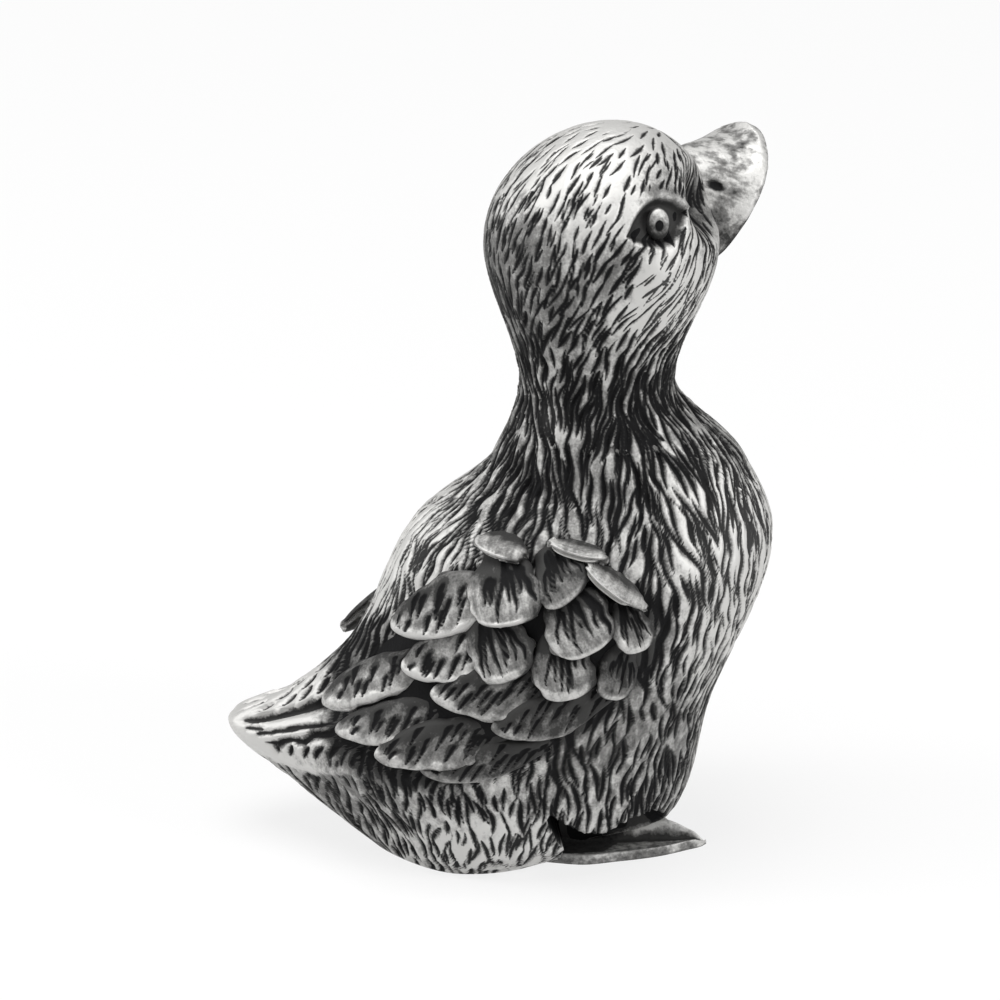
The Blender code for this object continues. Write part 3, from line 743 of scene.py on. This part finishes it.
bill_root, bill_tip, bill_drop, mouth_dip = 1.6, 11.3, 6.7, 0.5
culmen_rise, bill_edge = 4.8, 0.7
round_start, round_length = 0.6, 0.4
bill_sides = smooth_curve(
    ((0, 2.4), (0.17, 3.6), (0.3, 4.0), (0.47, 4.25), (round_start, 4.2), (0.83, 3.9), (1, 3.5))
)


def in_head(forward, right, up):
    """Points ahead of, to the right of and over the middle of the head, as it faces."""
    ahead = np.multiply.outer(forward, facing)
    aside = np.multiply.outer(right, right_hand)
    over = np.multiply.outer(up, upward)
    return head_middle + ahead + aside + over


def bill_half_width(along):
    rounded = np.maximum(along - round_start, 0) ** 2 / round_length**2
    return bill_sides(along) * np.sqrt(np.maximum(1 - rounded, 0))


def mouth_line(along):
    return -bill_drop - mouth_dip * along**2


def bill_half(name, inset):
    """A ball laid along the bill, with each point's place along it, ahead of the head, across and over."""
    piece, around, down = ball(name, 96, 96)
    along = np.sin(down * math.pi / 2)
    forward = bill_root + (bill_tip - inset - bill_root) * along
    root_cap = ease(down / 0.03)
    across = np.cos(around) * root_cap
    over = np.sin(around) * root_cap
    return piece, along, forward, across, over


smooth_pewter = antiqued_pewter("smooth pewter")

nostril_along, nostril_across, nostril_depth = 0.53, 0.64, 0.35
rim_rise, nail_depth, pit_depth, pit_size = 0.05, 0.06, 0.035, 1.0
upper_bill, along, forward, across, over = bill_half("smooth_upper_bill", 0.0)
half = bill_half_width(along)
ridge = bill_edge + culmen_rise * (1 - ease(2 * along - 1))
swell = bill_edge + (ridge - bill_edge) * (1 - np.abs(across) ** 1.5)
rise = mouth_line(along) + np.where(over > 0, swell * np.sqrt(np.abs(over)), 0.0)
from_nostril = np.hypot((along - nostril_along) / 0.036, (np.abs(across) - nostril_across) / 0.08)
nostril = ease((1.25 - from_nostril) / 0.8) * (over > 0)
bill_rim = np.maximum(ease((np.abs(across) - 0.8) / 0.12), ease((along - 0.93) / 0.05)) * (over > 0)
nail = np.exp(-(((along - 0.83 - 0.05 * across**2) / 0.012) ** 2)) * (over > 0)
rise = rise - nostril_depth * nostril + rim_rise * bill_rim - nail_depth * nail
bill_points = in_head(forward, half * across, rise)
pitting = np.array([noise.fractal(Vector(point / pit_size), 0.5, 2.0, 6) for point in bill_points])
move_points(upper_bill, bill_points)
bill_points = bill_points + normals_of(upper_bill) * (pit_depth * pitting)[:, None]
move_points(upper_bill, bill_points)
# Painted shade in the nostrils and towards the root, where the bill meets the head
at_root = ease((0.5 - along) / 0.3)
bill_wear = 0.28 + 0.3 * bill_rim + 0.5 * pitting - 0.1 * at_root
bill_cuts = 3 - 2.6 * nostril - 0.8 * nail
mark(upper_bill, bill_cuts, 0.8 * nostril + 0.6 * at_root, bill_wear, bill_points / 0.55)
finish_piece(upper_bill, smooth_pewter, "upper_bill")

lower_inset, lower_depth, mouth_gap = 0.4, 1.2, 0.25
lower_bill, along, forward, across, over = bill_half("smooth_lower_bill", lower_inset)
half = np.maximum(bill_half_width(along) - lower_inset, 0)
depth = lower_depth * (1 - 0.5 * along) * (1 - 0.6 * across**2)
rise = mouth_line(along) - mouth_gap - np.where(over < 0, depth * np.sqrt(np.abs(over)), 0.0)
bill_points = in_head(forward, half * across, rise)
move_points(lower_bill, bill_points)
# The lower half is painted a little dark all over, as shade under the upper half
mark(lower_bill, 2.0, 0.4, 0.4, bill_points / 0.7)
finish_piece(lower_bill, smooth_pewter, "lower_bill")

# Wings
# Each wing is a casting of its own, soldered on by two pegs: a plate that lies on the flank and sweeps
# clear of the tail, under tiled feathers with thick rounded rims and knife-cut barbs.

# Tip of each feather along and over the figure, the way it points in degrees, its length and width, how far
# its tip stands off, how bright it is, from rubbing and from painted shade on the lower feathers, and how it
# is
# cut: flight feathers have slanted nicks, coverts a fan of cuts, and lips are the bare rims of the top row
feathers = (
    (-11.1, 11.5, -145, 9.6, 2.5, 0.70, 0.65, "flight"),
    (-4.4, 9.0, -168, 9.0, 3.0, 0.15, 0.25, "flight"),
    (-10.2, 10.4, -161, 9.6, 2.9, 0.50, 0.50, "flight"),
    (-7.4, 9.5, -163, 10.0, 3.5, 0.60, 0.40, "flight"),
    (0.5, 12.4, -165, 8.8, 3.5, 0.50, 0.25, "flight"),
    (-3.6, 14.0, -170, 9.2, 3.8, 0.75, 0.50, "flight"),
    (-5.5, 15.2, -155, 8.0, 3.6, 0.85, 0.75, "flight"),
    (-6.2, 17.5, -147, 9.0, 3.7, 0.90, 0.75, "flight"),
    (8.3, 14.5, -104, 5.0, 2.6, 0.65, 0.40, "covert"),
    (5.7, 14.8, -76, 5.6, 4.1, 0.90, 0.60, "covert"),
    (2.1, 15.9, -60, 6.0, 4.4, 1.00, 0.60, "covert"),
    (10.1, 17.9, -72, 4.4, 2.6, 0.85, 0.60, "covert"),
    (7.2, 18.1, -60, 5.6, 4.6, 1.10, 0.70, "covert"),
    (1.9, 19.5, -74, 5.2, 5.0, 1.20, 0.70, "covert"),
    (5.8, 21.4, -52, 3.8, 3.8, 1.00, 0.40, "covert"),
    (8.3, 21.8, -124, 1.5, 4.8, 1.15, 0.80, "lip"),
    (6.0, 23.9, -100, 1.2, 4.0, 1.05, 0.85, "lip"),
    (0.9, 23.2, -95, 1.9, 3.4, 1.10, 0.70, "lip"),
)

plate_tip, plate_length, plate_width, plate_widest = (-9.6, 11.3), 21.0, 10.6, 0.35
plate_seat, tail_clearance, feather_wall = 0.7, 1.5, 0.45
barb_slant, barb_depth = 1.0, 0.22
edge_round, feather_crown, feather_rim = 0.5, 0.25, 0.15


def flank(x, height):
    middle, half_length, half = level(height)
    along = np.clip((x - middle) / half_length, -1, 1)
    return half * np.sqrt(1 - along**2) * (1 - narrowing(height) * ease(-along))


def wing_face(x, height):
    """How far the wing plate stands from the middle plane."""
    ahead, behind = front(height), back(height) - tail_clearance
    along = np.clip((2 * x - ahead - behind) / (ahead - behind), -1, 1)
    swept = half_width(height) * np.sqrt(1 - along**2)
    seated = flank(x, height) + plate_seat
    return (swept + seated + np.hypot(swept - seated, 0.6)) / 2


def over_wing(x, height, rise):
    """Points over the right wing's plate."""
    nudge = 0.1
    slope_x = (wing_face(x + nudge, height) - wing_face(x - nudge, height)) / (2 * nudge)
    slope_z = (wing_face(x, height + nudge) - wing_face(x, height - nudge)) / (2 * nudge)
    outward = unit(np.stack((-slope_x, -np.ones_like(x), -slope_z), -1))
    return np.stack((x, -wing_face(x, height), height), -1) + outward * rise[:, None]


def leaf(name, tip, degrees, length, width, widest, blunt, cells):
    """A grid bent to a leaf, with each point's place in the side view, along it, across it and inland."""
    bpy.ops.object.select_all(action="DESELECT")
    bpy.ops.mesh.primitive_grid_add(x_subdivisions=cells[0], y_subdivisions=cells[1], size=2)
    piece = bpy.context.object
    piece.name = piece.data.name = name
    across = np.sin(points_of(piece)[:, 0] * math.pi / 2)
    along = np.sin((points_of(piece)[:, 1] + 1) * math.pi / 4)
    beyond = np.maximum(along - widest, 0) / (1 - widest)
    taper = (0.45 + 0.55 * ease(along / widest)) * np.maximum(1 - beyond**blunt, 0.012) ** (1 / blunt)
    waver = 0.06 * np.sin(along * 11 + tip[0] * 3) * np.sign(across)
    waver = waver + 0.035 * np.sin(along * 31 + tip[1] * 5)
    taper = taper * (1 + waver * ease(along / 0.3))
    way = np.array((math.cos(math.radians(degrees)), math.sin(math.radians(degrees))))
    side = np.array((-way[1], way[0]))
    reach = (along - 1) * length
    spread = across * taper * width / 2
    x = tip[0] + way[0] * reach + side[0] * spread
    height = tip[1] + way[1] * reach + side[1] * spread
    roundness = (np.abs(across * taper) ** blunt + beyond**blunt) ** (1 / blunt)
    inland = (1 - np.maximum(roundness, np.abs(across))) * width / 2
    return piece, x, height, along, across, spread, inland


def barbs(cut, along, across, spread, length):
    """How far each point of a feather is from its nearest barb cut, in half widths of the cut."""
    nearest = np.full(len(along), untouched)
    if cut == "lip":
        return nearest
    if cut == "covert":
        lanes = np.linspace(-0.9, 0.75, 7)
        for lane in lanes:
            start = chance.uniform(0.15, 0.5)
            end = chance.uniform(0.62, 0.93)
            lane = lane + chance.uniform(-0.08, 0.08)
            share = np.clip((along - start) / (end - start), 0, 1)
            width = chance.uniform(0.08, 0.16) * (1.3 - share)
            fan = 0.4 * (1 - along) + lane * (0.3 + 0.7 * along) + 0.06 * np.sin(along * 6 + start * 20)
            off = np.abs(across - fan) * 1.9 / width
            ends = np.maximum(start - along, along - end) * length / width
            nearest = np.minimum(nearest, np.hypot(off, np.maximum(ends, 0)))
        return nearest
    barb_spacing = 0.5
    for place in np.arange(-0.2, 1.1, barb_spacing / length):
        place = place + chance.uniform(-0.04, 0.04)
        start = chance.uniform(-0.8, 0.2)
        end = start + chance.uniform(0.4, 0.8)
        share = np.clip((across - start) / (end - start), 0, 1)
        width = chance.uniform(0.07, 0.12) * (1.3 - share)
        off = np.abs((along - place) * length - spread * barb_slant) / math.hypot(1, barb_slant) / width
        ends = np.maximum(start - across, across - end) * 1.5 / width
        nearest = np.minimum(nearest, np.hypot(off, np.maximum(ends, 0)))
    return nearest


def join(pieces, name):
    bpy.ops.object.select_all(action="DESELECT")
    for piece in pieces:
        piece.select_set(True)
    bpy.context.view_layer.objects.active = pieces[0]
    bpy.ops.object.join()
    pieces[0].name = pieces[0].data.name = name
    return pieces[0]


def flip_faces(piece):
    """Turn the faces of a mirrored piece outwards again."""
    bpy.context.view_layer.objects.active = piece
    bpy.ops.object.mode_set(mode="EDIT")
    bpy.ops.mesh.select_all(action="SELECT")
    bpy.ops.mesh.flip_normals()
    bpy.ops.object.mode_set(mode="OBJECT")


def thicken(piece, thickness):
    bpy.context.view_layer.objects.active = piece
    wall = piece.modifiers.new("wall", "SOLIDIFY")
    wall.thickness = thickness * MM
    wall.offset = -1
    bpy.ops.object.modifier_apply(modifier=wall.name)


def wing(word, mirror):
    plate, x, height, along, across, spread, inland = leaf(
        "plate", plate_tip, wing_degrees, plate_length, plate_width, plate_widest, 2.0, (50, 50)
    )
    points = over_wing(x, height, -0.1 - 1.0 * (1 - ease(inland / 1.6))) * mirror
    move_points(plate, points)
    # The plate shows only between the feathers and is painted dark there, as shade
    mark(plate, 1.0, 0.7, 0.0, points / np.array((0.5, 2.0, 1.6)))
    parts = [plate]
    for tip_x, tip_height, degrees, length, width, tip_rise, light, cut in feathers:
        widest, blunt = (0.45, 1.7) if cut == "flight" else (0.6, 2.8)
        feather, x, height, along, across, spread, inland = leaf(
            "feather", (tip_x, tip_height), degrees, length, width, widest, blunt, (40, 60)
        )
        ratio = barbs(cut, along, across, spread, length)
        edge = 1 - np.clip(inland / 0.5, 0, 1)
        inside = ease((inland - 0.18) / 0.3)
        run = along * length
        rim_width = 0.20 + 0.12 * np.sin(run * 1.8 + tip_x * 2) + 0.08 * np.sin(run * 5 + tip_height)
        rim_start = 0.2 if cut == "flight" else 0.45
        rim = (1 - ease((inland - rim_width) / 0.4)) * ease((along - rim_start) / 0.35)
        if cut == "flight":
            rim = rim * np.maximum(ease((across + 0.2) / 0.5), ease((along - 0.92) / 0.06))
        else:
            rim = rim * ease((0.9 - across) / 0.5)
        root_depth = 1.3 if cut == "lip" else 0.8
        rise = (tip_rise + root_depth) * (1 - (1 - along) ** 2) - root_depth
        rise = rise - edge_round * (1 - np.sqrt(1 - edge**2))
        rise = rise + feather_crown * (1 - across**2) * (1 - along) + feather_rim * rim
        rise = rise + groove(ratio, barb_depth) * inside
        move_points(feather, over_wing(x, height, rise) * mirror)
        own_place = np.full(len(x), tip_x * 5)
        if cut == "flight":
            strand = np.stack(((run - barb_slant * spread) / 0.7, spread / 1.2, own_place), -1)
        else:
            strand = np.stack((spread / 0.35, run / 1.6, own_place), -1)
        worn = light + 0.46 * rim - 0.56
        ratio = np.where(inside > 0.1, ratio, untouched)
        # Painted shade: darker at the root under the row above, on a covert's right side, on a flight's
        # upper side and at the edges
        root_shade = 0.4 if cut == "flight" else 0.6
        shaded = 0.7 * ease((root_shade - along) / 0.35)
        if cut == "covert":
            shaded = np.maximum(shaded, 0.4 * ease((across - 0.6) / 0.3) * (1 - rim))
        if cut == "flight":
            shaded = np.maximum(shaded, 0.45 * ease((-0.1 - across) / 0.7) * (1 - rim))
        edge_shade = 0.1 if cut == "flight" else 0.5
        mark(feather, ratio, shaded + edge_shade * ease((edge - 0.8) / 0.2), worn, strand)
        parts.append(feather)
    made = join(parts, f"{word}_feathered_wing")
    if mirror[1] > 0:
        flip_faces(made)
    outer_side = len(made.data.vertices)
    thicken(made, feather_wall)
    # The inner faces are painted bright and free of shade, as painted light where the body keeps the lamps
    # off
    for name, value in (("stroke", untouched), ("hollow", 0.0), ("worn", 0.9)):
        for spot in made.data.attributes[name].data[outer_side:]:
            spot.value = value
    return made


for word, mirror in (("right", np.array((1, 1, 1))), ("left", np.array((1, -1, 1)))):
    finish_piece(wing(word, mirror), feathered_pewter, f"{word}_wing")

# Feet
# Webbed feet of pewter, cast separately, with a rounded rim round the web and a crest on the inner side.
# Their heels stand in slots under the breast.

foot_heel, foot_toe = 3.6, 13.9
outer_edge = smooth_curve(
    ((0, 4.9), (0.21, 5.15), (0.46, 4.35), (0.71, 3.25), (0.89, 1.95), (0.97, 1.3), (1, 0.8))
)
inner_edge = smooth_curve(((0, 1.6), (0.3, 1.0), (0.6, 0.65), (1, 0.6)))
crest = smooth_curve(
    ((0, 1.2), (0.35, 1.25), (0.62, 1.5), (0.74, 1.65), (0.88, 1.05), (0.96, 0.6), (1, 0.3))
)
web_height, outer_rise, toe_drop, edge_drop, least_height = 0.4, 0.22, 0.3, 0.3, 0.12
foot_wall = 0.2

# Each foot with its side of the figure, how far it is set back and how much higher its crest is
for word, mirror, set_back, lift in (("right", -1, 0.0, 1.0), ("left", 1, 1.9, 1.3)):
    bpy.ops.object.select_all(action="DESELECT")
    bpy.ops.mesh.primitive_grid_add(x_subdivisions=90, y_subdivisions=50, size=2)
    foot = bpy.context.object
    foot.name = foot.data.name = f"{word}_webbed_foot"
    along = np.sin((points_of(foot)[:, 0] + 1) * math.pi / 4)
    lane = np.sin(points_of(foot)[:, 1] * math.pi / 2)
    inner_rim = np.exp(-(((lane + 0.84) / 0.18) ** 2))
    outer_rim = np.exp(-(((lane - 0.85) / 0.16) ** 2))
    tip_rim = ease((along - 0.9) / 0.1)
    top = web_height + (crest(along) * lift - web_height) * inner_rim + outer_rise * outer_rim
    top = top - toe_drop * ease((along - 0.92) / 0.08)
    top = top - edge_drop * ease((np.abs(lane) - 0.9) / 0.1)
    top = np.maximum(top, least_height)
    aside = inner_edge(along) + (outer_edge(along) - inner_edge(along)) * (1 + lane) / 2
    place = np.stack((foot_heel - set_back + (foot_toe - foot_heel) * along, mirror * aside, top), -1)
    move_points(foot, place)
    outer_line = np.exp(-(((lane - 0.84) / 0.09) ** 2))
    inner_line = ease((-0.66 - lane) / 0.08) * ease((along - 0.4) / 0.2)
    rims = np.clip(inner_line + outer_line + tip_rim, 0, 1)
    # Painted shade under the crest and where the breast overhangs the web
    below_crest = np.exp(-(((lane + 0.46) / 0.17) ** 2)) * (1 - tip_rim)
    shade_front = 7.5 + 0.5 * (3.6 - aside) - 4 * np.maximum(aside - 3.7, 0)
    under_breast = ease((shade_front - place[:, 0] - set_back) / 0.6)
    foot_painted_shade = np.maximum(1.1 * below_crest, 1.5 * under_breast)
    mottle = np.array([noise.fractal(Vector(spot / 0.7), 0.8, 2.0, 4) for spot in place])
    mark(foot, 3 + 2 * rims, foot_painted_shade, 0.14 + 0.5 * rims + 0.35 * mottle, place / 0.45)
    if mirror < 0:
        flip_faces(foot)
    top_side = len(foot.data.vertices)
    thicken(foot, foot_wall)
    solid = points_of(foot)
    solid[top_side:] = solid[:top_side] * np.array((1, 1, 0))
    move_points(foot, solid / MM)
    for spot in foot.data.attributes["worn"].data[top_side:]:
        spot.value = 0.1
    finish_piece(foot, smooth_pewter, f"{word}_foot")

# Studio
# The figurine stands on a white table under soft light from above, with a weaker lamp on its breast side
# and one on its back side. The camera looks at its right side from a little above.

bpy.ops.object.select_all(action="DESELECT")
bpy.ops.mesh.primitive_plane_add(size=2)
table = bpy.context.object
table.name = table.data.name = "table"
paper = Finish("white paper")
seen = paper.node("ShaderNodeLightPath", {}, {}, output="Is Camera Ray")
mirrored = paper.node("ShaderNodeLightPath", {}, {}, output="Is Glossy Ray")
through = paper.node("ShaderNodeLightPath", {}, {}, output="Is Transmission Ray")
glow = paper.node("ShaderNodeEmission", {}, {"Color": (1, 1, 1, 1), "Strength": 1.0})
paper.feed(paper.shader.inputs["Base Color"], (0.8, 0.8, 0.8, 1))
paper.feed(paper.shader.inputs["Roughness"], 0.9)
surface = Value(paper, paper.shader.outputs[0])
shown = paper.node("ShaderNodeMixShader", {}, {0: (seen + mirrored + through) * 0.8, 1: surface, 2: glow})
paper.feed(paper.tree.nodes["Material Output"].inputs["Surface"], shown)
table.data.materials.append(paper.material)

world = bpy.data.worlds.new("studio")
bpy.context.scene.world = world
world.use_nodes = True
world.node_tree.nodes["Background"].inputs["Color"].default_value = (1, 1, 1, 1)
world.node_tree.nodes["Background"].inputs["Strength"].default_value = 0.28


def soft_light(name, place, aim, size, power):
    light = bpy.data.lights.new(name, "AREA")
    light.shape = "DISK"
    light.size = size
    light.energy = power
    lamp = bpy.data.objects.new(name, light)
    bpy.context.collection.objects.link(lamp)
    lamp.location = place
    lamp.rotation_euler = (Vector(aim) - Vector(place)).to_track_quat("-Z", "Y").to_euler()


soft_light("overhead", (-0.04, -0.06, 0.40), (0, 0, 0.03), 0.30, 1.35)
soft_light("breast side", (0.33, -0.16, 0.20), (0, 0, 0.03), 0.16, 0.85)
soft_light("back side", (-0.36, -0.04, 0.20), (0, 0, 0.03), 0.16, 0.7)

view_turn, view_rise, view_reach = math.radians(5), math.radians(22), 2.0
picture_width, pixels_per_mm, sensor_width = 1000, 15, 36
aim = Vector((0.0, 0.0, 0.0240))
view_level = math.cos(view_rise)
away = Vector((math.sin(view_turn) * view_level, -math.cos(view_turn) * view_level, math.sin(view_rise)))
lens = bpy.data.cameras.new("camera")
lens.sensor_width = sensor_width
lens.lens = view_reach / MM * pixels_per_mm * sensor_width / picture_width
camera = bpy.data.objects.new("camera", lens)
bpy.context.collection.objects.link(camera)
camera.location = aim + away * view_reach
camera.rotation_euler = (-away).to_track_quat("-Z", "Y").to_euler()
bpy.context.scene.camera = camera
bpy.context.scene.view_settings.view_transform = "Standard"
